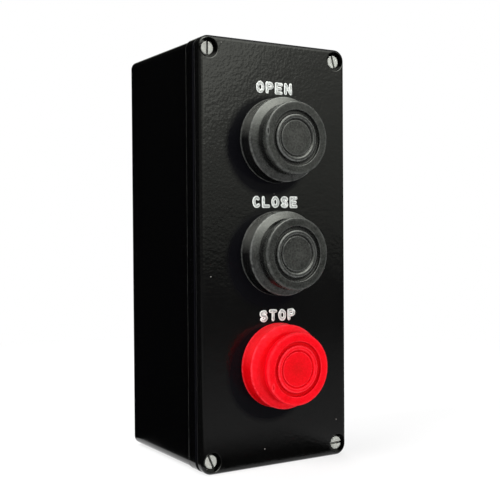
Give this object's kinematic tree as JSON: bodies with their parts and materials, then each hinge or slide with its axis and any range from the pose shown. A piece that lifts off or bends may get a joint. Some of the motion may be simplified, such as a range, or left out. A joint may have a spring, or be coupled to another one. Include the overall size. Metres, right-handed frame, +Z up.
{
  "type": "three-button control station",
  "caption": "Upright surface-mounted control station: enamelled cast box, screwed cover, rubber-booted push buttons and contact blocks.",
  "frame": {"origin": "centre of the wall face, the flat back of the box", "axes": "+Z up along the height, +Y out of the back towards the wall, so the buttons face -Y; +X to the right as seen from the front"},
  "size_m": [0.069, 0.08, 0.17],
  "materials": {
    "box_enamel": "gloss black enamel",
    "cover_enamel": "satin black enamel with fine orange peel",
    "gasket_rubber": "plain",
    "screw_steel": "bright, slotted",
    "earth_green": "green plated",
    "contact_brass": "bright",
    "boot_grey": "moulded, matt",
    "boot_red": "moulded, satin",
    "plated_steel": "zinc plated",
    "cast_zinc": "as cast",
    "black_plastic": "moulded",
    "spring_steel": "drawn wire",
    "block_plastic": "moulded phenolic",
    "carrier_plastic": "moulded"
  },
  "bodies": {
    "station": {"back_box": "box_enamel", "front_cover": "cover_enamel", "cover_gasket": "gasket_rubber", "cover_screws": "screw_steel", "earth_screw": "earth_green", "earth_washer": "contact_brass", "open_boot": "boot_grey", "open_ring_nut": "plated_steel", "open_panel_seal": "gasket_rubber", "open_operator": "cast_zinc", "open_return_spring": "spring_steel", "open_contact_block": "block_plastic", "open_block_cap": "block_plastic", "open_fixed_contacts": "contact_brass", "open_terminal_screws": "plated_steel", "open_block_screws": "plated_steel", "close_boot": "boot_grey", "close_ring_nut": "plated_steel", "close_panel_seal": "gasket_rubber", "close_operator": "cast_zinc", "close_return_spring": "spring_steel", "close_contact_block": "block_plastic", "close_block_cap": "block_plastic", "close_fixed_contacts": "contact_brass", "close_terminal_screws": "plated_steel", "close_block_screws": "plated_steel", "stop_boot": "boot_red", "stop_ring_nut": "plated_steel", "stop_panel_seal": "gasket_rubber", "stop_operator": "cast_zinc", "stop_return_spring": "spring_steel", "stop_contact_block": "block_plastic", "stop_block_cap": "block_plastic", "stop_fixed_contacts": "contact_brass", "stop_terminal_screws": "plated_steel", "stop_block_screws": "plated_steel"},
    "open_button": {"open_plunger": "black_plastic", "open_retaining_clip": "spring_steel", "open_contact_carrier": "carrier_plastic", "open_contact_bridge": "contact_brass", "open_contact_spring": "spring_steel"},
    "close_button": {"close_plunger": "black_plastic", "close_retaining_clip": "spring_steel", "close_contact_carrier": "carrier_plastic", "close_contact_bridge": "contact_brass", "close_contact_spring": "spring_steel"},
    "stop_button": {"stop_plunger": "black_plastic", "stop_retaining_clip": "spring_steel", "stop_contact_carrier": "carrier_plastic", "stop_contact_bridge": "contact_brass", "stop_contact_spring": "spring_steel"}
  },
  "joints": [
    {"name": "open_press", "type": "slide", "parent": "station", "child": "open_button", "axis": [0, 1, 0], "range_m": [0, 0.004], "stiffness_N_per_m": 1000, "springref_m": -0.003, "deforming": ["open_boot", "open_return_spring"]},
    {"name": "close_press", "type": "slide", "parent": "station", "child": "close_button", "axis": [0, 1, 0], "range_m": [0, 0.004], "stiffness_N_per_m": 1000, "springref_m": -0.003, "deforming": ["close_boot", "close_return_spring"]},
    {"name": "stop_press", "type": "slide", "parent": "station", "child": "stop_button", "axis": [0, 1, 0], "range_m": [0, 0.004], "stiffness_N_per_m": 1000, "springref_m": -0.003, "deforming": ["stop_boot", "stop_return_spring"]}
  ]
}
